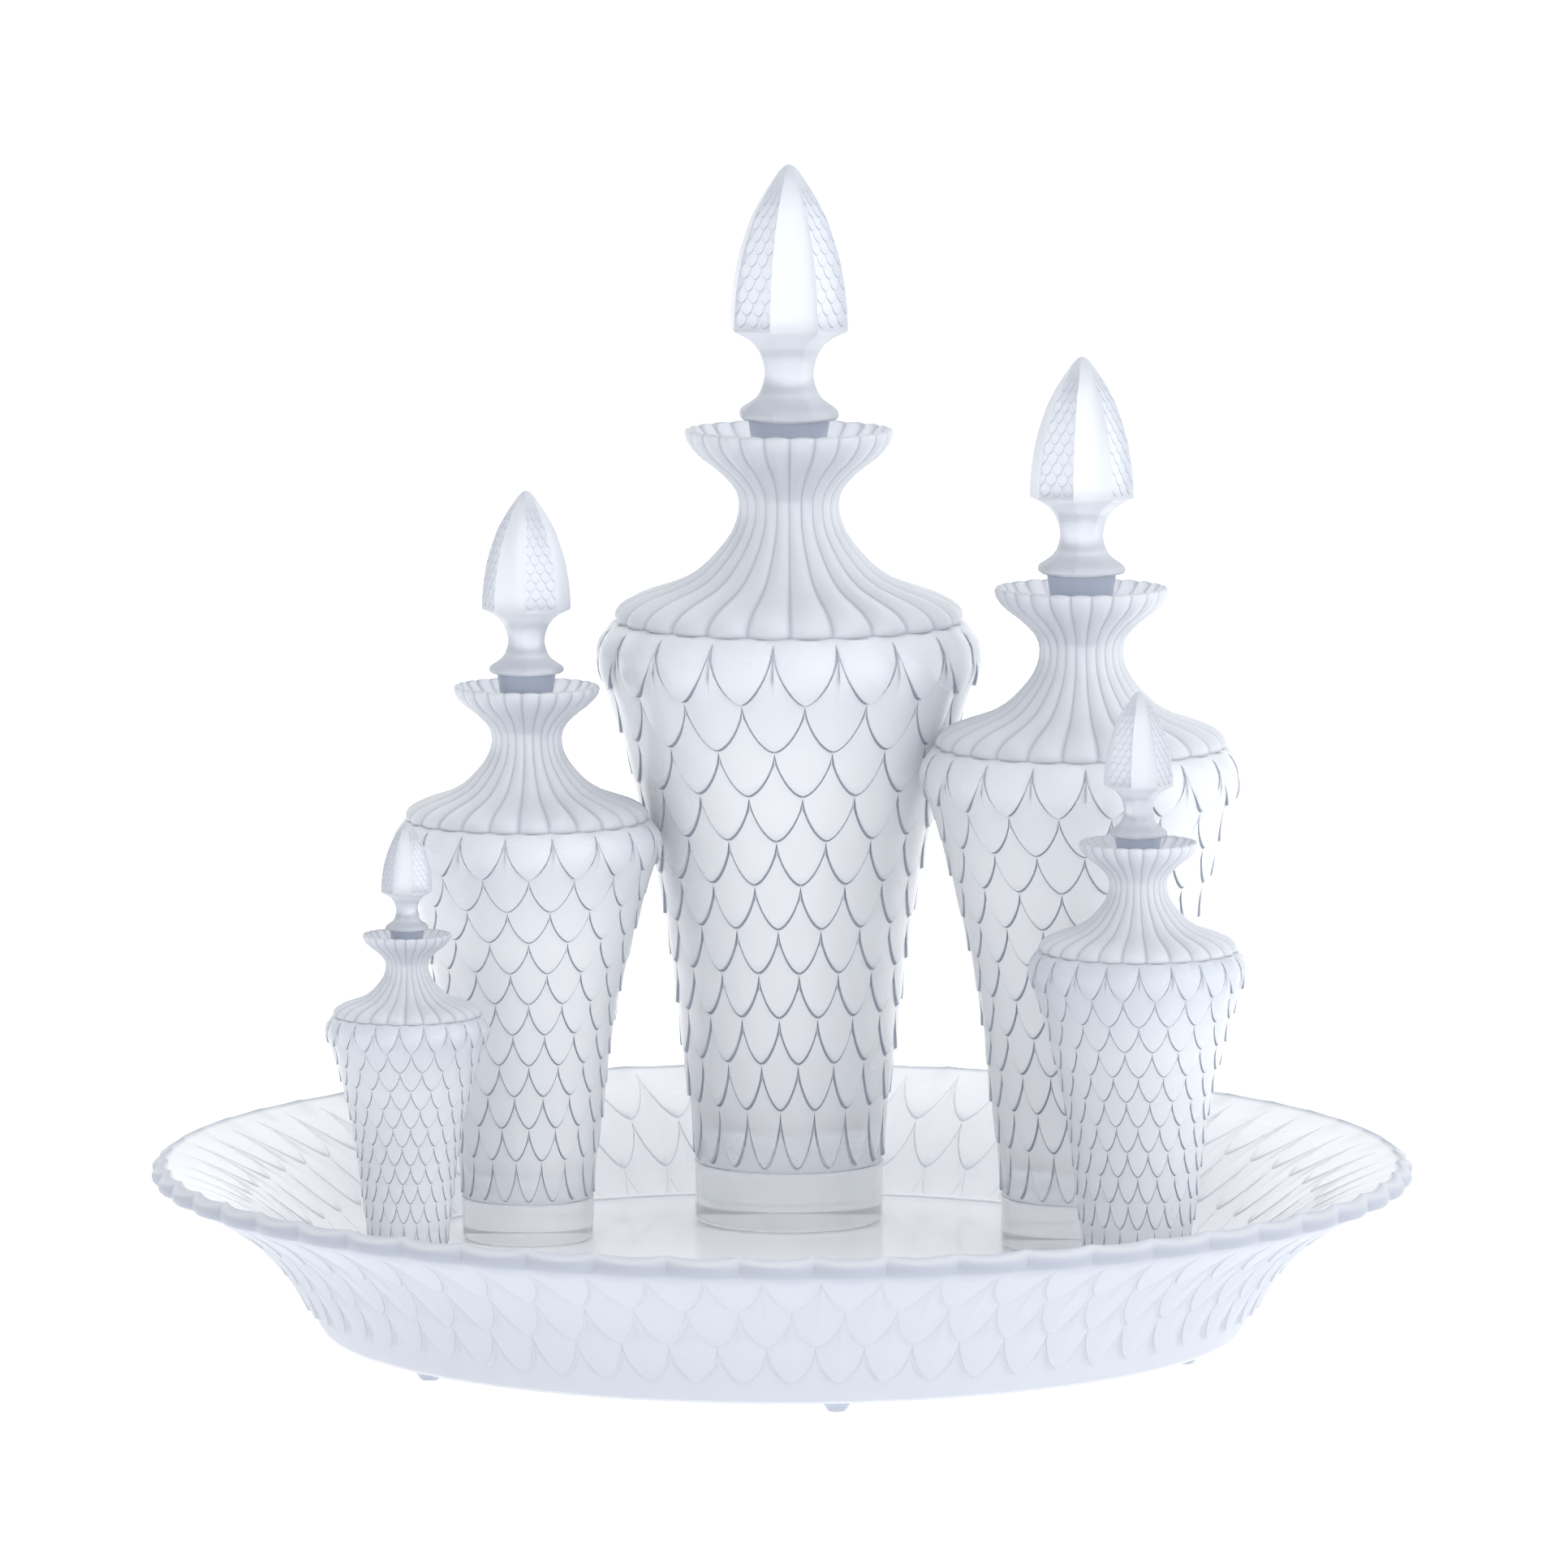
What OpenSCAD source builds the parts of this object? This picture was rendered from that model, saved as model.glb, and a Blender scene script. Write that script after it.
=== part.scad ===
// Set of five stoppered crystal perfume bottles on a round scalloped tray.
// Millimetres, +Z up, origin at the middle of the tray where its feet stand.
// The front of the set is -Y. All five bottles are one design in five sizes.

/* [Tray] */
// Radius of the tray at its scalloped rim
tray_rim_radius = 200; // [180:1:220]
// Height of the rim above the table
tray_rim_height = 57.6; // [50:0.2:66]
// Radius of the flat floor inside the tray
tray_floor_radius = 141; // [139:0.5:143]
// Height of the inside floor above the table
tray_floor_height = 22; // [18:0.5:26]
// Radius of the flat underside
tray_under_radius = 146; // [140:0.5:150]
// Number of scallops around the rim
rim_scallops = 56; // [48:4:72]
// Depth of a rim scallop
rim_scallop_depth = 2.2; // [1:0.1:3]

/* [Feet] */
// Number of feet under the tray
foot_count = 6; // [6:1:6]
// Height of a foot
foot_height = 3.7; // [2:0.1:6]
// Radius of a foot where it meets the tray
foot_top_radius = 5.25; // [4:0.05:7]
// Radius of a foot where it meets the table
foot_bottom_radius = 2.85; // [2:0.05:4]
// Radius of the ring the feet stand on
foot_ring_radius = 137; // [125:0.5:140]
// Angle of the first foot from the front, to the right
foot_turn = 7; // [0:1:59]

/* [Largest bottle] */
// Radius of the base
base_radius = 30.2; // [28:0.1:33]
// Largest radius of the body, just under the shoulder
body_radius = 61.3; // [58:0.1:63]
// Smallest radius of the neck outside
neck_radius = 16.2; // [15:0.1:18]
// Radius of the flared lip
lip_radius = 33.3; // [30:0.1:36]
// Height of the lip above the base
lip_height = 255.8; // [252:0.1:259]
// Height of the clear solid base under the cavity
solid_base = 29; // [24:0.5:34]
// How far a scale stands proud of the row under it
scale_step = 0.7; // [0.3:0.1:1.2]
// Number of flutes on the lip and the shoulder
flutes = 25; // [20:1:30]
// Depth of a flute at the lip
flute_depth = 0.9; // [0.4:0.1:1.4]

/* [Largest stopper] */
// Overall height of the bottle with its stopper
set_height = 340.6; // [330:0.1:350]
// Half the width across flats of the bud
bud_radius = 18.3; // [16:0.1:20]
// Half the width across flats of the collar
collar_radius = 15.6; // [14:0.1:17]
// Half the width across flats of the stem
stem_radius = 7.75; // [7:0.05:9]
// Radius of the ground plug at its lower end
plug_bottom_radius = 9.4; // [8.5:0.1:10]
// Radius of the ground plug under the collar
plug_top_radius = 13.1; // [12:0.1:14]
// Gap between the ground plug and its seat
plug_gap = 0.08; // [0.03:0.01:0.1]

/* [Sizes] */
// Size of the largest bottle against the measured outline above
size_xl = 1.01; // [0.98:0.005:1.02]
// Size of the second bottle against the measured outline
size_l = 0.83; // [0.82:0.005:0.84]
// Size of the third bottle against the measured outline
size_m = 0.7; // [0.68:0.005:0.71]
// Size of the fourth bottle against the measured outline
size_s = 0.555; // [0.54:0.005:0.57]
// Size of the smallest bottle against the measured outline
size_xs = 0.42; // [0.40:0.005:0.44]
// Size of the stopper of the second bottle, a little large for it, so it sits higher in its seat
head_l = 0.85; // [0.83:0.005:0.86]
// Size of the stopper of the third bottle, also a little large for it
head_m = 0.72; // [0.7:0.005:0.73]

/* [Hidden] */
$fn = 96;

// Where each bottle stands on the tray floor, and the turn of its stopper
xl_at = [2.2, 91, tray_floor_height];
l_at = [95.5, 41, tray_floor_height];
m_at = [-82, 55.5, tray_floor_height];
s_at = [111, -48, tray_floor_height];
xs_at = [-118.5, -8, tray_floor_height];
// Turn of the scallops of the rim
rim_turn = 2.7;
xl_turn = 5;
l_turn = 12;
m_turn = -22;
s_turn = 9;
xs_turn = -7;

// Outside of the body from the base to the widest ring, as height and radius
kb = body_radius / 61.3;
body_env = [[0, base_radius], [22, base_radius + 0.2], [37, 31.8 * kb], [54, 34.3 * kb], [66, 35.4 * kb],
  [80, 37.1 * kb], [95, 39.1 * kb], [109, 41.7 * kb], [123, 44.6 * kb], [137, 48.6 * kb], [153, 52.1 * kb],
  [168, 56 * kb], [173.4, 58 * kb], [178, 60.6 * kb], [181.6, body_radius]];
// Heights of the scale tips, from the lowest row to the highest
tips = [21, 40.4, 55.7, 70.8, 85.3, 99.8, 114.3, 128.8, 143.5, 158.1, 173.4];
function env(z) = lookup(z, body_env);

// The stepped outline of the scale rows: each row is proud at its lower edge
row_points = [for (i = [0 : len(tips) - 1], k = [0 : 1])
  k == 0 ? [env(tips[i]) - scale_step, tips[i]] : [env(tips[i] + 1.2), tips[i] + 1.2]];

shoulder = [[body_radius, 181.6], [60.9 * kb, 188], [59.2 * kb, 191], [56.6 * kb, 193.2], [55.3 * kb, 197],
  [52.1 * kb, 200.4], [45.2, 203.5], [35.8, 206.7], [29.9, 209.8], [26.2, 213], [23.2, 216], [20.5, 219],
  [18.3, 222.4], [17, 225.5]];
k_lip = lip_radius / 33.3;
dz_lip = lip_height - 255.8;
neck_lip = [[neck_radius, 231.8], [17, 235 + dz_lip], [18.4, 238 + dz_lip], [21, 241 + dz_lip],
  [24.8 * k_lip, 244.3 + dz_lip], [29.2 * k_lip, 247.5 + dz_lip], [31.9 * k_lip, 250.6 + dz_lip],
  [lip_radius, 253.4 + dz_lip], [lip_radius, 255.2 + dz_lip], [lip_radius - 0.8, lip_height]];

// The ground seat in the neck is a cone that follows the plug
plug_z0 = 233.6;
plug_z1 = 258.7;
function plug_r(z) = plug_bottom_radius
  + (plug_top_radius - plug_bottom_radius) * (z - plug_z0) / (plug_z1 - plug_z0);
dish = [[lip_radius - 1.8, lip_height], [28.5, 252.4], [24, 249.4], [18.5, 246.6], [13.6, 244.6],
  [plug_r(243.8) + plug_gap, 243.8]];
cavity = [[plug_r(231.6) + plug_gap, 231.6], [10.2, 226], [11.4, 220.5], [14.5, 214.5], [19.5, 208.5],
  [26, 203.5], [36, 199], [45, 194.5], [51.5, 188.5], [53.6, 182], [52, 174.5], [47.5, 161.5], [43, 146],
  [38.6, 131], [33.4, 110], [30, 90], [27.8, 66], [25.6, 45], [24.4, 36], [21.5, solid_base + 2.6],
  [15, solid_base + 0.6], [0, solid_base]];

function ring_point(r, d, n, a) = let (w = abs(sin(a * n / 2))) (r - d + d * w) * [cos(a), sin(a)];

// A disc with n rounded lobes, used to scallop a rim
module lobed_prism(r, d, n, z0, z1, steps) {
  translate([0, 0, z0]) {
    linear_extrude(height = z1 - z0) {
      polygon([for (i = [0 : n * steps - 1]) ring_point(r, d, n, i * 360 / (n * steps))]);
    }
  }
}

module bottle_shape() {
  color([0.86, 0.89, 0.93]) {
    intersection() {
      rotate_extrude() {
        polygon(concat([[0, 0], [base_radius - 1.2, 0], [base_radius, 1.2], [base_radius, 19.4]], row_points,
          shoulder, neck_lip, dish, cavity));
      }
      union() {
        cylinder(h = 192.4, r = body_radius + 2);
        lobed_prism(56.2 * kb, flute_depth * 1.5, flutes, 192.4, 210, 4);
        translate([0, 0, 209]) {
          cylinder(h = 36, r = 32);
        }
        lobed_prism(lip_radius + 0.05, flute_depth, flutes, 244, lip_height + 1, 4);
      }
    }
  }
}

// Half outline of the head, as half width across flats and height
head = [[13.4, plug_z1], [collar_radius, 260.2], [collar_radius - 0.2, 261.4], [14.6, 263], [9.8, 266],
  [8.4, 269], [stem_radius, 272.6], [8.1, 276], [8.9, 279], [10.6, 282], [14.4, 285], [17.9, 286.8],
  [bud_radius, 288.4], [bud_radius, 291], [bud_radius - 0.5, 298], [17.0, 304], [15.95, 310], [14.1, 316.5],
  [11.9, 323], [8.9, 329], [5.2, 335.4], [2.9, 338.6], [0.8, set_height]];

module head_slab() {
  translate([0, 30, 0]) {
    rotate([90, 0, 0]) {
      linear_extrude(height = 60) {
        polygon(concat(head, [for (i = [len(head) - 1 : -1 : 0]) [-head[i][0], head[i][1]]]));
      }
    }
  }
}

module stopper_shape() {
  color([0.90, 0.92, 0.95]) {
    union() {
      intersection() {
        head_slab();
        rotate([0, 0, 45]) {
          head_slab();
        }
        rotate([0, 0, 90]) {
          head_slab();
        }
        rotate([0, 0, 135]) {
          head_slab();
        }
      }
      translate([0, 0, plug_z0]) {
        cylinder(h = plug_z1 - plug_z0 + 0.01, r1 = plug_bottom_radius, r2 = plug_top_radius);
      }
    }
  }
}

module stand(at, turn, k) {
  translate(at) {
    rotate([0, 0, turn]) {
      scale([k, k, k]) {
        children();
      }
    }
  }
}

module bottle_xl() {
  stand(xl_at, 0, size_xl) {
    bottle_shape();
  }
}

module bottle_l() {
  stand(l_at, 0, size_l) {
    bottle_shape();
  }
}

module bottle_m() {
  stand(m_at, 0, size_m) {
    bottle_shape();
  }
}

module bottle_s() {
  stand(s_at, 0, size_s) {
    bottle_shape();
  }
}

module bottle_xs() {
  stand(xs_at, 0, size_xs) {
    bottle_shape();
  }
}

// A stopper of size head in the seat of a bottle of size body. Both cones have the same taper,
// so a larger plug stops higher in the seat.
module seated(at, turn, body, head) {
  taper = (plug_top_radius - plug_bottom_radius) / (258.7 - 233.6);
  up = (head - body) * (plug_bottom_radius / taper - 233.6);
  stand([at[0], at[1], at[2] + up], turn, head) {
    stopper_shape();
  }
}

module stopper_xl() {
  seated(xl_at, xl_turn, size_xl, size_xl);
}

module stopper_l() {
  seated(l_at, l_turn, size_l, head_l);
}

module stopper_m() {
  seated(m_at, m_turn, size_m, head_m);
}

module stopper_s() {
  seated(s_at, s_turn, size_s, size_s);
}

module stopper_xs() {
  seated(xs_at, xs_turn, size_xs, size_xs);
}

kr = tray_rim_radius / 200;
dzr = tray_rim_height - 57.6;
tray_outer = [[0, foot_height], [tray_under_radius - 1, foot_height], [tray_under_radius + 0.6, 4.4],
  [148.3, 7], [151, 11.5], [155.2, 18.5], [161, 27], [168, 33.6], [175, 39 + dzr], [183 * kr, 44 + dzr],
  [191 * kr, 48.2 + dzr], [198.6 * kr, 51.6 + dzr], [tray_rim_radius, 52.6 + dzr],
  [tray_rim_radius, 55.6 + dzr], [198.8 * kr, 57.2 + dzr], [197.2 * kr, tray_rim_height]];
tray_inner = [[195.4 * kr, 57 + dzr], [188 * kr, 54.4 + dzr], [178.5 * kr, 50 + dzr], [169.5, 44.6],
  [161, 38.2], [153.5, 31.4], [147.5, 25.8], [144, 23.2], [tray_floor_radius, tray_floor_height],
  [0, tray_floor_height]];

module tray() {
  color([0.84, 0.87, 0.92]) {
    intersection() {
      rotate_extrude() {
        polygon(concat(tray_outer, tray_inner));
      }
      union() {
        cylinder(h = 46, r = tray_rim_radius - 4);
        rotate([0, 0, rim_turn]) {
          lobed_prism(tray_rim_radius + 0.05, rim_scallop_depth, rim_scallops, 45, tray_rim_height + 1, 4);
        }
      }
    }
  }
}

module foot(i) {
  color([0.88, 0.90, 0.92]) {
    rotate([0, 0, foot_turn + (i - 1) * 60]) {
      translate([0, -foot_ring_radius, 0]) {
        cylinder(h = foot_height, r1 = foot_bottom_radius, r2 = foot_top_radius);
      }
    }
  }
}

module tray_foot_1() {
  foot(1);
}

module tray_foot_2() {
  foot(2);
}

module tray_foot_3() {
  foot(3);
}

module tray_foot_4() {
  foot(4);
}

module tray_foot_5() {
  foot(5);
}

module tray_foot_6() {
  foot(6);
}

tray();
tray_foot_1();
tray_foot_2();
tray_foot_3();
tray_foot_4();
tray_foot_5();
tray_foot_6();
bottle_xl();
bottle_l();
bottle_m();
bottle_s();
bottle_xs();
stopper_xl();
stopper_l();
stopper_m();
stopper_s();
stopper_xs();
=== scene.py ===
"""Looks of the stoppered crystal perfume bottles on their scalloped tray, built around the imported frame."""

import math

import bpy
import numpy as np
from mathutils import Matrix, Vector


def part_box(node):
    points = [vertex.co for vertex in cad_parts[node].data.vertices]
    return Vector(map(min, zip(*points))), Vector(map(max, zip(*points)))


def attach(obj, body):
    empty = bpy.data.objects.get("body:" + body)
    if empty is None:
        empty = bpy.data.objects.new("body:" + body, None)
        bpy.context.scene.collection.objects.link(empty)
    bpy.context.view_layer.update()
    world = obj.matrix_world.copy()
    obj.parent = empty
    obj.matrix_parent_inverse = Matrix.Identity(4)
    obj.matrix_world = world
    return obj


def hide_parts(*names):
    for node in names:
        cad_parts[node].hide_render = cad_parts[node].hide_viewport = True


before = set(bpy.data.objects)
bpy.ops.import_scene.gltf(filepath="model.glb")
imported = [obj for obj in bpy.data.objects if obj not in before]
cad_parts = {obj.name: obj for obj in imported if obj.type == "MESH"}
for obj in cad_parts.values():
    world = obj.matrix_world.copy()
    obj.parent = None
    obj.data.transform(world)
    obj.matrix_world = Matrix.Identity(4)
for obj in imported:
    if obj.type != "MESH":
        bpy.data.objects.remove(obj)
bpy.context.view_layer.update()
scene = bpy.context.scene
PI = math.pi

# ---------------------------------------------------------------- camera, sky and floor
cam_data = bpy.data.cameras.new("camera")
cam_data.lens = 249.0
cam_data.sensor_width = 36.0
cam_data.clip_end = 100.0
cam = bpy.data.objects.new("camera", cam_data)
cam.location = (0.0006, -3.4, 0.600)
cam.rotation_euler = (math.radians(90 - 7.108), 0, 0)
scene.collection.objects.link(cam)
scene.camera = cam
scene.view_settings.view_transform = "Standard"
scene.view_settings.exposure = 0.35
scene.cycles.use_denoising = True
scene.cycles.max_bounces = 20
scene.cycles.transmission_bounces = 20
scene.cycles.glossy_bounces = 10
scene.cycles.diffuse_bounces = 6
scene.cycles.sample_clamp_indirect = 1.5

world = bpy.data.worlds.new("studio")
scene.world = world
world.use_nodes = True
wn, wl = world.node_tree.nodes, world.node_tree.links
bg = wn["Background"]
tc = wn.new("ShaderNodeTexCoord")
sep = wn.new("ShaderNodeSeparateXYZ")
wl.new(tc.outputs["Generated"], sep.inputs[0])


def world_range(src, a, b, lo, hi):
    m = wn.new("ShaderNodeMapRange")
    m.interpolation_type = "SMOOTHSTEP"
    for key, v in (("From Min", a), ("From Max", b), ("To Min", lo), ("To Max", hi)):
        m.inputs[key].default_value = v
    wl.new(src, m.inputs["Value"])
    return m.outputs["Result"]


def world_math(op, a, b):
    m = wn.new("ShaderNodeMath")
    m.operation = op
    for i, v in enumerate((a, b)):
        if isinstance(v, float):
            m.inputs[i].default_value = v
        else:
            wl.new(v, m.inputs[i])
    return m.outputs[0]


def softbox(x, y, z, wide, full, power):
    d = wn.new("ShaderNodeVectorMath")
    d.operation = "DOT_PRODUCT"
    m = math.sqrt(x * x + y * y + z * z)
    d.inputs[1].default_value = (x / m, y / m, z / m)
    wl.new(tc.outputs["Generated"], d.inputs[0])
    return world_range(d.outputs["Value"], wide, full, 0.0, power)


sky = world_math("MULTIPLY", world_range(sep.outputs["Z"], 0.12, 0.75, 1.06, 0.85),
                 world_range(sep.outputs["X"], -0.9, 0.5, 0.68, 0.98))
sky = world_math("ADD", sky, softbox(0.75, -0.45, 0.5, 0.5, 0.95, 0.6))
sky = world_math("ADD", sky, softbox(-0.3, 0.6, 0.75, 0.6, 0.95, 0.3))
wl.new(sky, bg.inputs["Strength"])
bg.inputs["Color"].default_value = (0.975, 0.985, 1.0, 1)

floor_mesh = bpy.data.meshes.new("floor")
floor_mesh.from_pydata([(-12, -12, 0), (12, -12, 0), (12, 12, 0), (-12, 12, 0)], [], [(0, 1, 2, 3)])
floor = bpy.data.objects.new("floor", floor_mesh)
scene.collection.objects.link(floor)
fm = bpy.data.materials.new("floor_pale")
fm.use_nodes = True
fb = fm.node_tree.nodes["Principled BSDF"]
fb.inputs["Base Color"].default_value = (0.50, 0.503, 0.506, 1)
fb.inputs["Emission Color"].default_value = (0.985, 0.99, 1.0, 1)
fb.inputs["Emission Strength"].default_value = 0.8
fb.inputs["Roughness"].default_value = 0.9
fb.inputs["Specular IOR Level"].default_value = 0.1
floor_mesh.materials.append(fm)


# ---------------------------------------------------------------- small tools
def smooth(points):
    """A smooth curve through (x, y) points that doesn't overshoot."""
    x, y = np.array(points, float).T
    d = np.diff(y) / np.diff(x)
    m = np.empty_like(y)
    m[1:-1] = np.where(d[:-1] * d[1:] > 0, 2 * d[:-1] * d[1:] / (d[:-1] + d[1:] + 1e-12), 0)
    m[0], m[-1] = d[0], d[-1]

    def f(q):
        q = np.clip(np.asarray(q, float), x[0], x[-1])
        i = np.clip(np.searchsorted(x, q) - 1, 0, len(x) - 2)
        h = x[i + 1] - x[i]
        t = (q - x[i]) / h
        return (y[i] * (1 + 2 * t) * (1 - t) ** 2 + m[i] * h * t * (1 - t) ** 2
                + y[i + 1] * t * t * (3 - 2 * t) + m[i + 1] * h * t * t * (t - 1))

    return f


def fold(x):
    """-1..1 across each cell of length 2, 0 in its middle."""
    return np.mod(x + 1, 2) - 1


def columns(cells, phase, per_half):
    """Angles around the axis, closer together at scale tips and cusps."""
    half = PI / cells
    s = (1 - np.cos(PI * np.arange(per_half) / per_half)) / 2
    return phase + half * (np.arange(2 * cells)[:, None] + s[None, :]).ravel()


class Rings:
    """Rings of points from one pole to the other, with masks for the material."""

    def __init__(self, phi):
        self.phi = phi
        self.rows = []

    def add(self, r, z, edge=0.0, frost=0.5, milk=0.0, phi=None):
        o = np.ones_like(self.phi)
        angle = self.phi if phi is None else phi
        self.rows.append([r * o, z * o, edge * o, frost * o, milk * o, angle * o])

    def build(self, name, start, end, place, material, sharp=42):
        a = np.array(self.rows)
        n, m = a.shape[0], a.shape[2]
        r, z, edge, frost, milk, phi = (a[:, i, :] for i in range(6))
        pts = np.stack([r * np.sin(phi), -r * np.cos(phi), z], -1).reshape(-1, 3)
        pts = np.concatenate([pts, [[0, 0, start]], [[0, 0, end]]])
        i, j = np.meshgrid(np.arange(n - 1), np.arange(m), indexing="ij")
        k = (j + 1) % m
        quads = np.stack([i * m + j, i * m + k, (i + 1) * m + k, (i + 1) * m + j], -1).reshape(-1, 4)
        j = np.arange(m)
        k = (j + 1) % m
        c0 = np.stack([np.full(m, n * m), k, j], -1)
        c1 = np.stack([(n - 1) * m + j, (n - 1) * m + k, np.full(m, n * m + 1)], -1)
        mesh = bpy.data.meshes.new(name)
        mesh.from_pydata(place(pts).tolist(), [], quads.tolist() + c0.tolist() + c1.tolist())
        for key, v in (("edge", edge), ("frost", frost), ("milk", milk)):
            at = mesh.attributes.new(key, "FLOAT", "POINT")
            v = np.concatenate([v.ravel(), [v[0].mean()], [v[-1].mean()]])
            at.data.foreach_set("value", np.clip(v, 0, 1).astype(np.float32))
        mesh.polygons.foreach_set("use_smooth", np.ones(len(mesh.polygons), bool))
        mesh.set_sharp_from_angle(angle=math.radians(sharp))
        mesh.materials.append(material)
        ob = bpy.data.objects.new(name, mesh)
        scene.collection.objects.link(ob)
        return ob


def curve(u):
    """Height of a scale's lower border above its tip, in rows, from its middle (0) to its corner (1)."""
    u = np.minimum(np.abs(u) / 0.985, 1)
    return 0.55 * (1 - np.sqrt(1 - u * u)) + 0.383 * u ** 1.5


def scale_bands(phi, cells, tips, phases, z0, top, tilt, crown, groove, radius, line=1.0, up=0.3,
                fracs=(0.1, 0.28, 0.5, 0.72, 1.0), base=-0.35, crowns=None):
    """Rows of overlapping scales that point down. Yields (z, height, painted shade) from z0 up to top."""
    half = PI / cells
    n = len(tips)
    full = np.ones_like(phi)
    nexts = list(tips[1:]) + [top]

    def u(i):
        return fold((phi - phases[i]) / half)

    def low_edge(i):
        return full * top if i >= n else tips[i] + (nexts[i] - tips[i]) * curve(u(i))

    def height(i, z):
        if i < 0:
            return full * base
        c = crown if crowns is None else crowns[i]
        return tilt * (1 - (z - tips[i]) / (nexts[i] - tips[i])) - c * u(i) ** 2

    for i in range(-1, n):
        lo = low_edge(i) if i >= 0 else full * z0
        hi = low_edge(i + 1)
        d = hi - lo
        a = lo + (np.minimum(up, 0.2 * d) if i >= 0 else 0.02)
        if i < n - 1:
            v = np.abs(u(i + 1))
            steep = (nexts[i + 1] - tips[i + 1]) * (curve(np.minimum(v + 0.02, 1)) - curve(v - 0.02))
            steep = steep / (0.04 * half * radius(tips[i + 1]))
            w = line * (1 - 0.5 * v) * np.sqrt(1 + np.minimum(steep, 9) ** 2)
            low1, low2 = np.minimum(w, 0.42 * d), np.minimum(w - 0.25 * line, 0.3 * d)
        else:
            low1 = low2 = 0.05
        b = hi - low1
        # painted shade: full in the groove under each scale's lower border, a little just above it
        yield a, height(i, a), 0.15 * (i >= 0)
        for t in fracs:
            z = a + (b - a) * t
            yield z, height(i, z), 0.0
        if i < n - 1:
            z = hi - low2
            yield z, height(i, z) - groove, 1.0
            yield hi, 0.5 * (height(i, hi) - groove) + 0.5 * height(i + 1, hi), 1.0


def snap(phi, n, at):
    """Turns phi a little so that a column stands on each of n flute or lobe boundaries."""
    b = np.sort((at + 2 * PI * np.arange(n) / n) % (2 * PI))
    q = phi % (2 * PI)
    near = np.array([q[np.argmin(np.abs(np.angle(np.exp(1j * (q - x)))))] for x in b])
    off = np.angle(np.exp(1j * (b - near)))
    o = np.argsort(near)
    return phi + np.interp(q, near[o], off[o], period=2 * PI)


# ---------------------------------------------------------------- materials
def crystal(name, clear, satin, edge, rough=(0.03, 0.42), grain=260.0, bump=0.05):
    mat = bpy.data.materials.new(name)
    mat.use_nodes = True
    nt = mat.node_tree
    nd, ln = nt.nodes, nt.links
    p = nd["Principled BSDF"]
    p.inputs["IOR"].default_value = 1.52

    def node(kind, **kw):
        x = nd.new(kind)
        for key, v in kw.items():
            setattr(x, key, v)
        return x

    shade_attr = node("ShaderNodeAttribute", attribute_name="edge")
    af = node("ShaderNodeAttribute", attribute_name="frost")
    am = node("ShaderNodeAttribute", attribute_name="milk")
    co = node("ShaderNodeTexCoord")
    cloud = node("ShaderNodeTexNoise")
    cloud.inputs["Scale"].default_value = 14.0
    cloud.inputs["Detail"].default_value = 3.0
    ln.new(co.outputs["Object"], cloud.inputs["Vector"])
    fine = node("ShaderNodeTexNoise")
    fine.inputs["Scale"].default_value = grain
    fine.inputs["Detail"].default_value = 4.0
    ln.new(co.outputs["Object"], fine.inputs["Vector"])

    def remap(src, a, b, lo, hi):
        m = node("ShaderNodeMapRange")
        m.inputs["From Min"].default_value = a
        m.inputs["From Max"].default_value = b
        m.inputs["To Min"].default_value = lo
        m.inputs["To Max"].default_value = hi
        ln.new(src, m.inputs["Value"])
        return m.outputs["Result"]

    def maths(op, a, b):
        m = node("ShaderNodeMath", operation=op)
        for i, v in enumerate((a, b)):
            if isinstance(v, float):
                m.inputs[i].default_value = v
            else:
                ln.new(v, m.inputs[i])
        return m.outputs[0]

    def mix(f, a, b):
        m = node("ShaderNodeMix", data_type="RGBA")
        ln.new(f, m.inputs[0])
        for i, v in ((6, a), (7, b)):
            if isinstance(v, tuple):
                m.inputs[i].default_value = (*v, 1)
            else:
                ln.new(v, m.inputs[i])
        return m.outputs[2]

    frost, milk = af.outputs["Fac"], am.outputs["Fac"]
    body = mix(milk, clear, satin)
    soft = mix(remap(cloud.outputs["Fac"], 0.35, 0.65, 0.0, 0.35), body, tuple(0.95 * c for c in satin))
    # mixes the base colour towards the painted shade colour wherever the painted shade mask is set
    ln.new(mix(shade_attr.outputs["Fac"], soft, edge), p.inputs["Base Color"])
    r = remap(frost, 0.0, 1.0, rough[0], rough[1])
    vary = maths("MULTIPLY", maths("SUBTRACT", cloud.outputs["Fac"], 0.5), 0.2)
    ln.new(maths("MAXIMUM", maths("ADD", r, maths("MULTIPLY", vary, frost)), rough[0]), p.inputs["Roughness"])
    ln.new(remap(milk, 0.0, 1.0, 1.0, 0.0), p.inputs["Transmission Weight"])
    bp = node("ShaderNodeBump")
    bp.inputs["Distance"].default_value = 0.0004
    ln.new(maths("MULTIPLY", frost, bump), bp.inputs["Strength"])
    ln.new(fine.outputs["Fac"], bp.inputs["Height"])
    ln.new(bp.outputs["Normal"], p.inputs["Normal"])
    return mat


# The last colour of each crystal is its painted shade, laid over grooves, valleys and shaded parts by the
# painted shade mask.
bottle_mat = crystal("bottle_crystal", (0.99, 0.995, 1.0), (0.955, 0.97, 1.0), (0.46, 0.51, 0.62))
# The stopper's satin is a darker copy of the same crystal: painted shade over the whole stopper.
stopper_mat = crystal("stopper_crystal", (0.95, 0.965, 1.0), (0.72, 0.745, 0.80), (0.34, 0.39, 0.50))
tray_mat = crystal("tray_crystal", (0.99, 0.995, 1.0), (0.96, 0.97, 0.995), (0.41, 0.44, 0.52))


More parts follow.
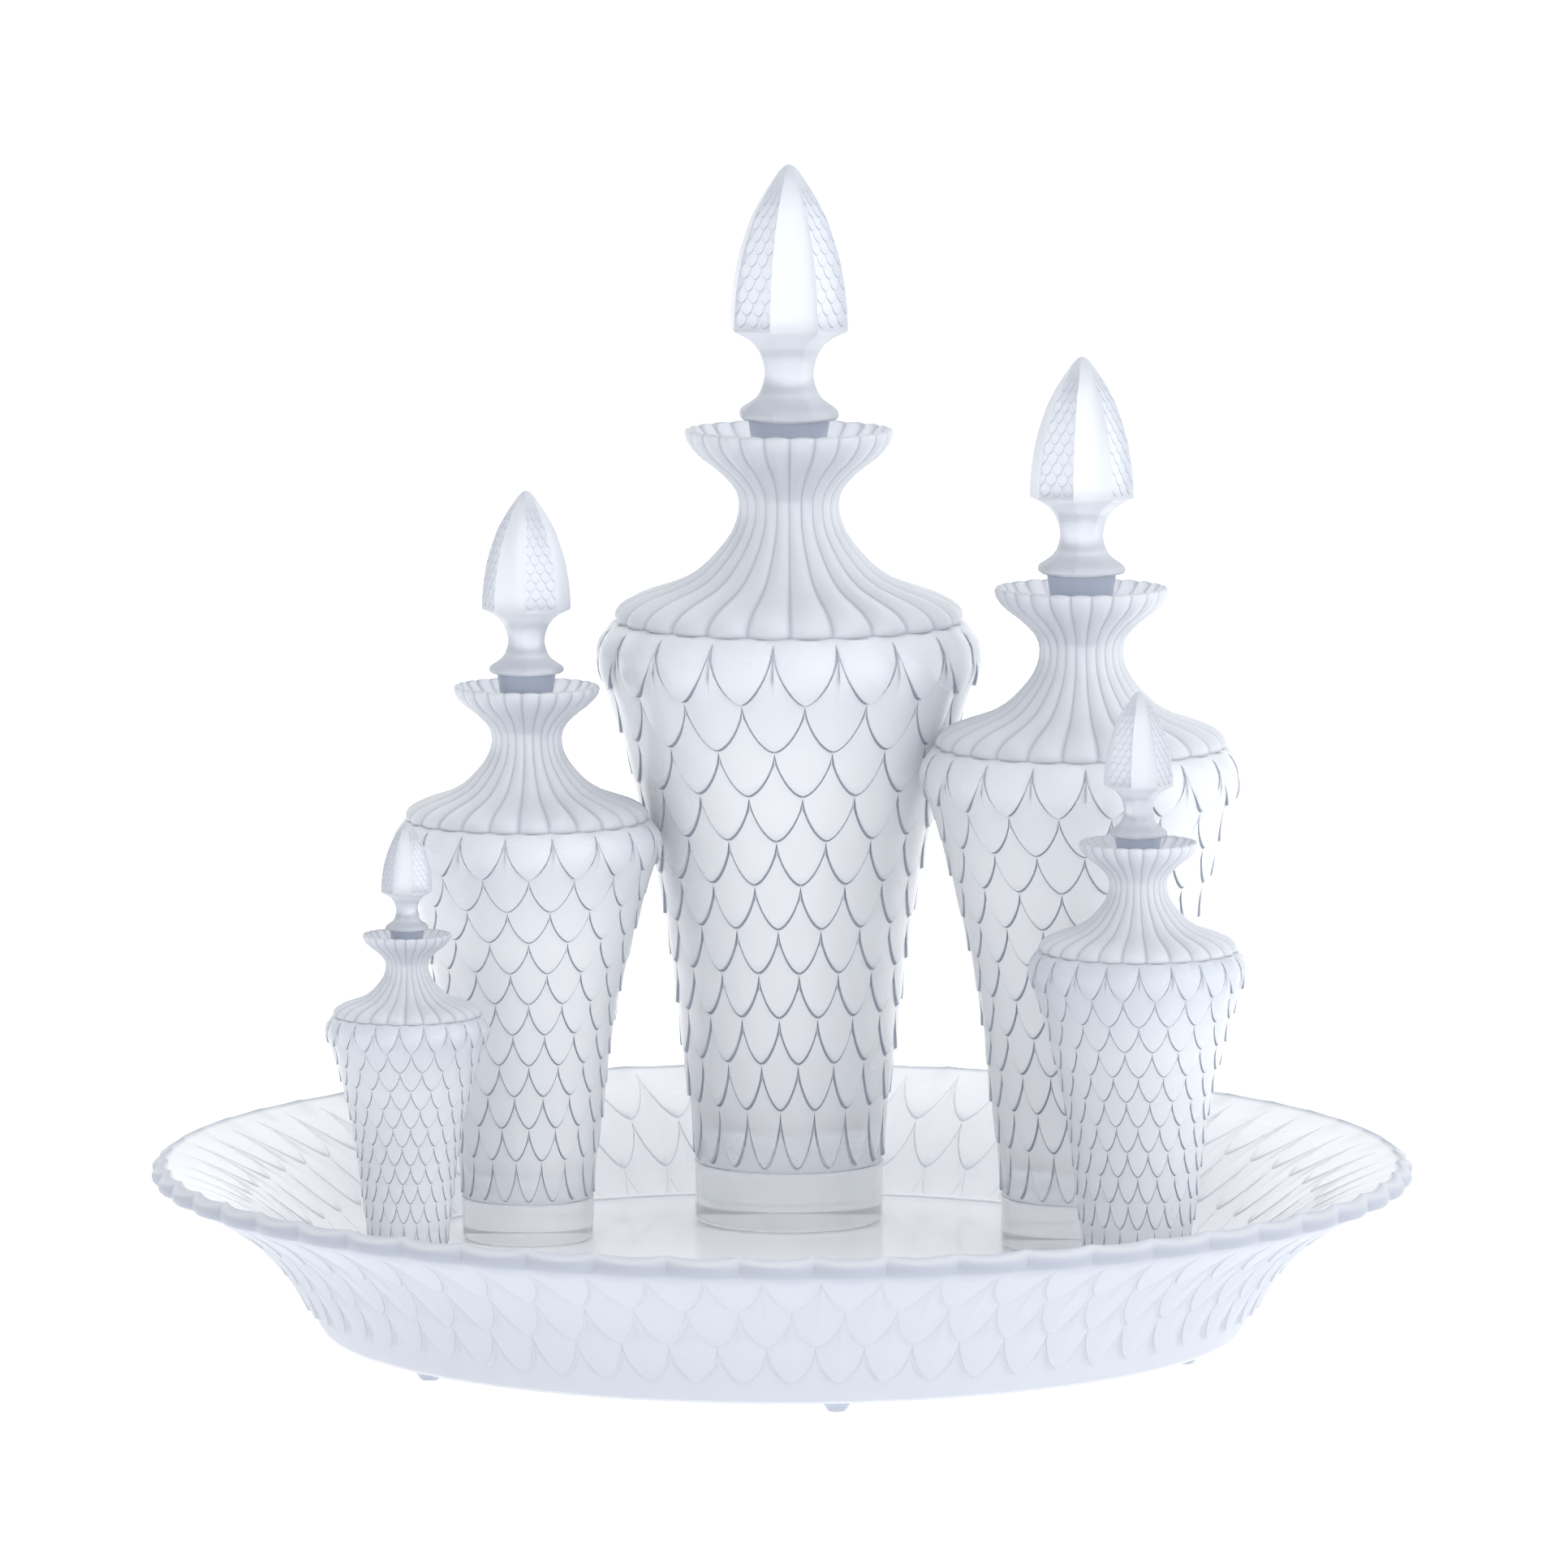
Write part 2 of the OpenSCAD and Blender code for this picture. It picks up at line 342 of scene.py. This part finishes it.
# ---------------------------------------------------------------- bottle, drawn at the largest size in mm
BOTTLE_H = 255.8
BODY = smooth([(0, 30.2), (22, 30.5), (37, 31.8), (54, 34.3), (66, 35.6), (80, 37.2), (95, 39.3), (109, 41.8),
               (123, 44.8), (137, 48.4), (153, 52.6), (164, 55.9), (173, 59.3), (178, 61.4), (181.6, 62.1),
               (185, 62.1), (188, 61.3), (191, 59.6), (194, 56.8)])
TIPS = [21, 40.4, 55.7, 70.8, 85.3, 99.8, 114.3, 128.8, 143.5, 158.1, 173.4]
FLUTES = 25
FLUTE_START = math.radians(0.3)
SCALE_START = math.radians(5.0)
SHOULDER = [(54.6, 193.9, 0.8), (55.2, 194.4, 1.4), (55.5, 195.4, 1.9), (55.2, 196.8, 2.2),
            (54.1, 198.4, 2.3), (52.1, 200.0, 2.2), (49.5, 201.4, 2.0), (46.6, 202.6, 1.8),
            (43.1, 203.8, 1.65), (39.2, 205.1, 1.5), (35.2, 206.6, 1.35), (32.0, 208.3, 1.25),
            (29.3, 210.0, 1.15), (26.0, 212.9, 1.05), (22.9, 216.2, 1.0), (20.3, 219.4, 0.95),
            (18.2, 222.6, 0.9), (16.8, 226, 0.85), (16.15, 229, 0.82), (16.0, 231.8, 0.8),
            (16.25, 233.8, 0.8), (16.9, 235.8, 0.8), (18.4, 238.2, 0.85), (21, 241, 0.9),
            (24.6, 244.1, 0.95), (28.4, 246.9, 1.0), (31.1, 249.6, 1.05), (32.7, 252, 1.1),
            (33.3, 254, 1.1), (33.2, 255.1, 1.0)]
DISH = [(32.7, 255.65, 0.6), (32.1, 255.8, 0.5), (31.5, 255.5, 0.5), (30.2, 254.2, 0.5), (28.2, 252.3, 0.5),
        (24.4, 249.7, 0.45), (20.2, 247.5, 0.35), (16.6, 245.9, 0.2), (13.8, 244.8, 0.1), (12.2, 244.3, 0.0)]
INSIDE = [(11.4, 244.0, 0.6), (11.0, 243.6, 0.8), (10.3, 239.5, 0.8), (9.75, 235.5, 0.8), (9.25, 231.6, 0.8),
          (9.6, 229, 0.3), (10.3, 226, 0.15), (11.5, 221, 0.1), (14.2, 215, 0.1), (18.5, 209.6, 0.1),
          (25, 204.4, 0.1), (33, 200.2, 0.1), (40.5, 197, 0.1), (46.5, 193.4, 0.1), (50.6, 189, 0.1),
          (52.6, 183.5, 0.1), (52.4, 178, 0.1), (50.6, 171, 0.1), (47.4, 161, 0.1), (43.6, 148, 0.1),
          (39.4, 133, 0.1), (35.0, 116, 0.1), (31.6, 100, 0.1), (29.2, 82, 0.1), (27.5, 64, 0.1),
          (26.0, 50, 0.1), (24.8, 40, 0.1), (23.4, 34.8, 0.12), (21, 31.8, 0.15), (17.4, 30.2, 0.15),
          (12, 29.4, 0.15), (6, 29.05, 0.15)]


def bottle(size, cells, line, shade, per_half, turn):
    node = "bottle_" + size
    lo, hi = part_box(node)
    k = (hi.z - lo.z) / BOTTLE_H
    at = np.array([(lo.x + hi.x) / 2, (lo.y + hi.y) / 2, lo.z])
    place = lambda p: p * k + at
    half = PI / cells
    a0 = SCALE_START + turn
    phi = columns(cells, a0, per_half)
    phases = [a0 + (half if (len(TIPS) - 1 - i) % 2 else 0) for i in range(len(TIPS))]
    g = Rings(phi)
    for r, z, f in ((21, 0.5, 0), (24.4, 0.5, 0), (25.2, 0, 0), (28.7, 0, 0), (29.6, 0.3, 0), (30.05, 0.9, 0),
                    (30.2, 1.8, 0), (30.2, 6, 0), (30.2, 11, 0), (30.2, 15.5, 0.02), (30.2, 17.8, 0.08),
                    (30.2, 18.9, 0.15)):
        g.add(r, z, 0, f + 0.1, 0.42)
    # painted shadow line under the ledge where the scales stand out from the clear band
    g.add(30.45, 19.25, 0.5, 0.4, 0.4)
    crowns = [0.3] * 8 + [0.45, 0.9, 1.9]
    for z, h, e in scale_bands(phi, cells, TIPS, phases, 19.6, 193.6, 0.8, 0.35, 0.25, BODY, line=line,
                               crowns=crowns):
        slope = (BODY(z + 0.5) - BODY(z - 0.5))
        n = 1 / np.sqrt(1 + slope ** 2)
        r = BODY(z) + (h - 0.25) * n
        zz = z - (h - 0.25) * slope * n
        # the top row turns in under the shoulder as one smooth ring
        t = np.clip((z - 186) / 7.6, 0, 1)
        # Painted shade in the scale zone: the bottle's grey shade over the whole body, more towards the foot
        # of the scale zone and towards the shoulder, with the groove lines on top.
        low = np.clip((46 - z) / 27, 0, 1) ** 2
        painted_top_shade = np.clip((z - 140) / 45, 0, 1)
        g.add(r, np.where(z > 180, z, zz), np.maximum(e * (1 - 0.5 * low), shade + 0.3 * low + 0.3 * painted_top_shade),
              0.6 + 0.1 * t - 0.35 * e, 0.7 - 0.3 * low - 0.1 * t - 0.25 * e)
    fl = snap(phi, FLUTES, FLUTE_START + turn)
    v = fold((fl - FLUTE_START - turn) / (PI / FLUTES) + 1)
    lobes = v ** 2
    prof = SHOULDER + DISH
    pr = np.array([(r, z) for r, z, _ in prof])
    tan = np.gradient(pr, axis=0)
    nor = np.stack([tan[:, 1], -tan[:, 0]], -1)
    nor /= np.linalg.norm(nor, axis=1)[:, None]
    for i, (r, z, d) in enumerate(prof):
        h = d * (0.3 - lobes)
        # painted shade over the shoulder and lip, darkest in the valleys between the flutes
        painted_crease_shade = 0.3 + 0.5 * np.clip((np.abs(v) - 0.8) / 0.2, 0, 1) * min(1, d)
        out = i < len(SHOULDER)
        g.add(r + h * nor[i, 0], z + h * nor[i, 1], painted_crease_shade,
              1.0 if out else 0.9, 0.55 if out else 0.4, fl)
    for r, z, f in INSIDE:
        g.add(r, z, 0, f, 0.3, fl)
    ob = g.build("crystal_bottle_" + size, 0.5, 29.0, place, bottle_mat)
    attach(ob, node)
    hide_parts(node)


# ---------------------------------------------------------------- stopper, at the largest size in mm
PLUG_BOTTOM, HEAD_TIP = 233.6, 340.6
STOPPER_H = 107.0
HEAD_ROWS, HEAD_PITCH, HEAD_FIRST = 12, 3.85, 289.3
HEAD = smooth([(288.3, 18.35), (291, 18.3), (298, 17.85), (304, 17.05), (310, 15.95), (316.5, 14.1),
               (323, 11.9), (329, 8.95), (334.6, 5.6), (338.6, 2.95), (340.6, 1.2)])
NECKING = [(13.4, 258.7, 0.6), (14.7, 258.95, 0.5), (15.5, 259.6, 0.4), (15.75, 260.5, 0.35),
           (15.5, 261.6, 0.35), (14.7, 262.6, 0.35), (12.6, 264.0, 0.4), (10.5, 265.6, 0.45),
           (9.2, 267.6, 0.5), (8.3, 270.0, 0.5), (7.8, 272.6, 0.5), (7.9, 275.2, 0.45),
           (8.5, 277.8, 0.4), (9.5, 280.4, 0.35), (11.2, 282.9, 0.25), (13.5, 284.9, 0.15),
           (16.0, 286.3, 0.08), (17.9, 287.2, 0.0), (18.3, 287.7, 0.0)]


def stopper(size, per_half, turn):
    node = "stopper_" + size
    lo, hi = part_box(node)
    k = (hi.z - lo.z) / STOPPER_H
    at = np.array([(lo.x + hi.x) / 2, (lo.y + hi.y) / 2, lo.z - PLUG_BOTTOM * k])
    place = lambda p: p * k + at
    s = (1 - np.cos(PI * np.arange(per_half) / per_half)) / 2
    across = -1 + (np.arange(6)[:, None] + s[None, :]).ravel() / 3
    t8 = math.tan(PI / 8)
    ang, vv, scaled = [], [], []
    for f in range(8):
        line = across if f % 2 else np.array([-1, -0.6, -0.2, 0.2, 0.6])
        for v in line:
            ang.append(f * PI / 4 + math.atan(v * t8))
            vv.append(v)
            scaled.append(f % 2)
    phi = np.array(ang)
    vv = np.array(vv)
    on = np.array(scaled, float)
    local = np.mod(phi + PI / 8, PI / 4) - PI / 8
    octo = 1 / np.cos(local)
    phi = phi + turn
    corner = np.abs(vv) > 0.999
    g = Rings(phi)

    # ring lays a little painted shade over each ring of the neck and tip
    def ring(r, z, soft, edge=0.12, frost=0.9, milk=0.45):
        g.add(r * ((1 - soft) * octo + soft * 1.035), z, edge, frost, milk)

    # painted shade on the plug that sits inside the bottle's neck
    for r, z, f in ((7.4, 233.6, 0.0), (8.7, 233.65, 0.0), (9.25, 233.95, 0.0), (9.46, 234.5, 0.0),
                    (10.2, 239.4, 0.0), (11.0, 244.6, 0.0), (11.75, 249.6, 0.0), (12.6, 255.3, 0.02),
                    (13.0, 257.9, 0.05), (13.1, 258.5, 0.3)):
        g.add(r, z, 0.75, f + 0.25, 0.6)
    for r, z, so in NECKING:
        ring(r, z, so, 0.12, 0.95)
    rows, pitch = HEAD_ROWS, HEAD_PITCH
    tips = [HEAD_FIRST + pitch * i for i in range(rows)]
    cell = 2 / 3
    for i in range(-1, rows):
        def u(q):
            return fold((vv + 1 + (cell / 2 if q % 2 else 0)) / (cell / 2) + 1)

        def edge_z(q):
            if q >= rows:
                return np.full_like(vv, tips[-1] + pitch)
            return tips[q] + 0.93 * pitch * (1 - np.sqrt(1 - np.minimum(np.abs(u(q)) / 0.975, 1) ** 2))

        def height(q, z):
            if q < 0:
                return np.full_like(vv, -0.35)
            return 0.2 * (1 - (z - tips[q]) / pitch) - 0.1 * u(q) ** 2 - 0.22

        low = edge_z(i) if i >= 0 else np.full_like(vv, 288.2)
        top = edge_z(i + 1)
        d = top - low
        a = low + np.minimum(0.12, 0.2 * d)
        b = top - np.minimum(0.34, 0.45 * d)
        c = top - np.minimum(0.16, 0.25 * d)
        last = i == rows - 1
        seq = [(a, height(i, a), 0.2 * (i >= 0)), (a + 0.5 * (b - a), height(i, a + 0.5 * (b - a)), 0.0),
               (b, height(i, b), 0.0)]
        if not last:
            seq += [(c, height(i, c) - 0.06, 0.8), (top, (height(i, top) + height(i + 1, top)) / 2, 0.9)]
        for z, h, e in seq:
            fade = np.clip((336.5 - z) / 6, 0, 1)
            h = h * on * (~corner) * fade
            # painted shade in the grooves between the head's scales, and a little over the whole scaled
            # facets so they read darker than the plain ones
            g.add((HEAD(z) + h) * octo, z, np.maximum(e * fade, 0.15) * on * (~corner),
                  np.where(on > 0, 0.8, 0.95), 0.5 - 0.1 * on)
    for z, so in ((336.9, 0.1), (338.0, 0.3), (339.0, 0.6), (339.8, 0.85), (340.35, 1.0)):
        r = HEAD(z) if z < 339 else {339.0: 2.5, 339.8: 1.75, 340.35: 0.9}[z]
        ring(r, z, so)
    ob = g.build("crystal_stopper_" + size, PLUG_BOTTOM, HEAD_TIP, place, stopper_mat, sharp=30)
    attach(ob, node)
    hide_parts(node)


# ---------------------------------------------------------------- tray
TRAY_BOTTOM, TRAY_FLOOR = 3.7, 22.0
WALL_SCALES, RIM_LOBES = 66, 56
OUTER_TIPS = [11.2, 23.8, 37.0]
INNER_TIPS = [17.5, 30.5, 44.0]
WALL_START, RIM_START = math.radians(0.985), math.radians(2.7)
OUTER = smooth([(3.7, 146.6), (5, 147.7), (7, 148.7), (11.5, 151.2), (18.5, 155.4), (27, 161.4),
                (33.6, 168), (39, 175), (44, 183), (48.2, 191), (51.0, 197.4), (51.6, 198.9)])
INNER = smooth([(22, 141.0), (22.9, 143.6), (25.8, 147.5), (31.4, 153.5), (38.2, 161), (44.6, 169.5),
                (50, 178.5), (54.4, 188), (57, 195.4)])
RIM = [(197.6, 51.2, 1.8, 0), (198.9, 51.5, 2.3, 0), (199.7, 52.3, 2.6, 0), (200.0, 53.4, 2.7, 0),
       (200.0, 54.6, 2.7, 0.15), (199.7, 55.7, 2.6, 0.5), (199.2, 56.6, 2.5, 0.85), (198.4, 57.2, 2.3, 0.9),
       (197.4, 57.55, 2.0, 0.6), (196.4, 57.5, 1.6, 0.35)]


def tray():
    node = "tray"
    n, lobes = WALL_SCALES, RIM_LOBES
    half = PI / n
    a0 = WALL_START
    phi = columns(n, a0, 6)
    rim = snap(phi, lobes, RIM_START)
    v = fold((rim - RIM_START) / (PI / lobes) + 1)
    lob = v ** 2
    g = Rings(phi)
    for r, z in ((60, 3.7), (120, 3.7), (143.5, 3.7), (145.6, 3.8)):
        g.add(r, z, 0, 1.0, 0.5)
    phases = [a0, a0 + half, a0]
    for z, h, e in scale_bands(phi, n, OUTER_TIPS, phases, 4.2, 50.6, 0.7, 0.7, 0.1, OUTER,
                               line=1.4, base=-0.7, fracs=(0.12, 0.4, 0.7, 1.0)):
        t = np.clip((z - 44) / 6.6, 0, 1)
        h = h * (1 - t) - 0.3
        slope = (OUTER(z + 0.4) - OUTER(z - 0.4)) / 0.8
        q = 1 / np.sqrt(1 + slope ** 2)
        shift = (rim - phi) * t
        # painted shade over the whole outer wall, more towards the rim
        g.add(OUTER(z) + h * q - 1.5 * lob * t ** 3, z - h * slope * q,
              0.7 + 0.2 * t ** 4, 1.0, 0.75, phi + shift)
    for r, z, d, w in RIM:
        # painted shade on the rim's outer face, lighter where it rounds over to the top lip
        g.add(r - d * lob, z - 1.5 * (1 - lob) * w, 0.95 - 0.45 * w, 1.0, 0.7, rim)
    rows = list(scale_bands(phi, n, INNER_TIPS, phases, 15.0, 56.6, 0.3, 0.15, 0.15, INNER,
                            line=0.42, base=0.0, fracs=(0.12, 0.4, 0.7, 1.0)))
    for z, h, e in reversed(rows):
        if z.min() <= 15.5:
            continue
        zc = np.maximum(z, 22.35 + 0.02 * (z - 15))
        t = np.clip((zc - 42) / 14.6, 0, 1)
        fade = np.clip((z - 22.4) / 1.5, 0, 1) * (1 - t ** 3)
        slope = (INNER(zc + 0.4) - INNER(zc - 0.4)) / 0.8
        q = 1 / np.sqrt(1 + slope ** 2)
        h = h * fade
        # faint painted shade in the grooves of the inner wall's scales
        g.add(INNER(zc) - h * q, zc + h * slope * q - 0.6 * (1 - lob) * t ** 3,
              0.28 * e * fade, 0.35 + 0.4 * t, 0.72, phi + (rim - phi) * t)
    # painted shade in the corner where the inner wall meets the floor
    for r, z, e in ((141.2, 22.1, 0.7), (140.4, 22.0, 0.5), (139.4, 22.0, 0), (110, 22.0, 0), (70, 22.0, 0),
                    (30, 22.0, 0)):
        g.add(r, z, e, 0.12, 0.45)
    ob = g.build("crystal_tray", TRAY_BOTTOM, TRAY_FLOOR, lambda p: p / 1000, tray_mat, sharp=38)
    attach(ob, node)
    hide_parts(node)


# ---------------------------------------------------------------- pads under the tray
def pads():
    mat = bpy.data.materials.new("pad_clear")
    mat.use_nodes = True
    nt = mat.node_tree
    p = nt.nodes["Principled BSDF"]
    p.inputs["IOR"].default_value = 1.47
    p.inputs["Transmission Weight"].default_value = 0.35
    co = nt.nodes.new("ShaderNodeTexCoord")
    no = nt.nodes.new("ShaderNodeTexNoise")
    no.inputs["Scale"].default_value = 300
    nt.links.new(co.outputs["Object"], no.inputs["Vector"])
    ra = nt.nodes.new("ShaderNodeMapRange")
    ra.inputs["To Min"].default_value = 0.22
    ra.inputs["To Max"].default_value = 0.34
    nt.links.new(no.outputs["Fac"], ra.inputs["Value"])
    nt.links.new(ra.outputs["Result"], p.inputs["Roughness"])
    cr = nt.nodes.new("ShaderNodeValToRGB")
    cr.color_ramp.elements[0].color = (0.50, 0.55, 0.64, 1)
    cr.color_ramp.elements[1].color = (0.62, 0.66, 0.74, 1)
    nt.links.new(no.outputs["Fac"], cr.inputs["Fac"])
    nt.links.new(cr.outputs["Color"], p.inputs["Base Color"])
    for i in range(1, 7):
        node = f"tray_foot_{i}"
        lo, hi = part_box(node)
        g = Rings(np.linspace(0, 2 * PI, 48, endpoint=False))
        for r, z in ((1.6, 0.12), (2.3, 0.02), (2.7, 0.1), (2.95, 0.35), (3.3, 0.9), (4.0, 1.9), (4.7, 2.8),
                     (5.1, 3.3), (5.2, 3.55), (5.1, 3.68)):
            g.add(r, z, 0, 0.5)
        at = np.array([(lo.x + hi.x) / 2, (lo.y + hi.y) / 2, lo.z])
        ob = g.build(f"pad_{i}", 0.14, 3.69, lambda p: p / 1000 + at, mat)
        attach(ob, "tray")
        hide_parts(node)


tray()
pads()
# size, scales around it, line width in mm at the largest size, painted shade over the body, columns per half
# scale,
# turn of the bottle in radians, turn of the stopper in degrees
for name, cells, line, shade, per_half, turn, head_turn in (
        ("xl", 18, 0.8, 0.0, 10, 0.0, 5),
        ("l", 18, 0.75, 0.0, 10, 0.09, 12),
        ("m", 17, 0.65, 0.05, 8, -0.05, -22),
        ("s", 20, 0.65, 0.25, 8, 0.05, 9),
        ("xs", 20, 0.65, 0.18, 6, 0.0, -7)):
    bottle(name, cells, line, shade, per_half, turn)
    stopper(name, 3, math.radians(head_turn))
